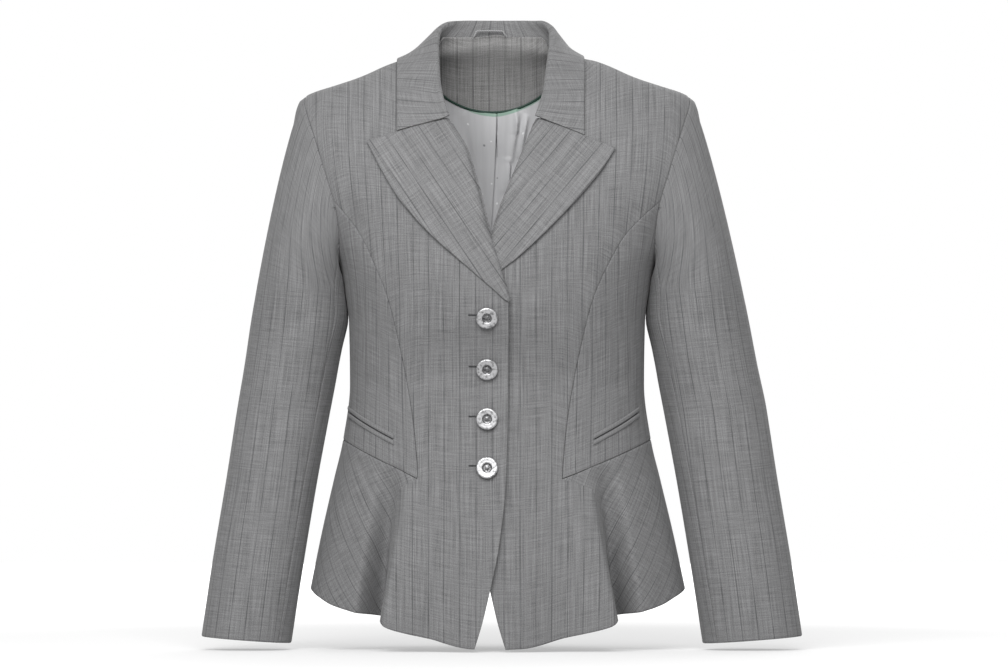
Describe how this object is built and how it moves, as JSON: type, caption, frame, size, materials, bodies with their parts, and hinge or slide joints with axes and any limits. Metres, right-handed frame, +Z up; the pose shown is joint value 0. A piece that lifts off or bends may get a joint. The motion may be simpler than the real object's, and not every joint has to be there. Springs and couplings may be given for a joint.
{
  "type": "blazer",
  "caption": "Fitted single-breasted blazer with peaked lapels, princess seams, jetted pockets and a fluted cutaway peplum, filled out as when worn and empty.",
  "frame": {"origin": "centre of the neck, level with the neck ends of the shoulder seams, where the wearer's neck and shoulders hold the jacket up", "axes": "+Z up, +Y from the front of the jacket to its back, +X to the viewer's right, which is the wearer's left"},
  "size_m": [0.618, 0.2763, 0.6493],
  "materials": {
    "suiting": "matt grey suiting with fine darker stripes",
    "lining": "grey satin with tiny dots",
    "piping": "dark green satin cord",
    "button_metal": "silver metal, softly polished"
  },
  "bodies": {
    "root": {"front_right": "suiting", "front_left": "suiting", "side_front_right": "suiting", "side_front_left": "suiting", "peplum_front_right": "suiting", "peplum_front_left": "suiting", "back_right": "suiting", "back_left": "suiting", "peplum_back_right": "suiting", "peplum_back_left": "suiting", "upper_sleeve_right": "suiting", "upper_sleeve_left": "suiting", "under_sleeve_right": "suiting", "under_sleeve_left": "suiting", "lapel_right": "suiting", "lapel_left": "suiting", "welt_upper_right": "suiting", "welt_upper_left": "suiting", "welt_lower_right": "suiting", "welt_lower_left": "suiting", "collar": "suiting", "back_facing": "suiting", "hanger_loop": "suiting", "back_lining": "lining", "facing_piping": "piping", "button_1": "button_metal", "button_2": "button_metal", "button_3": "button_metal", "button_4": "button_metal"}
  },
  "joints": []
}
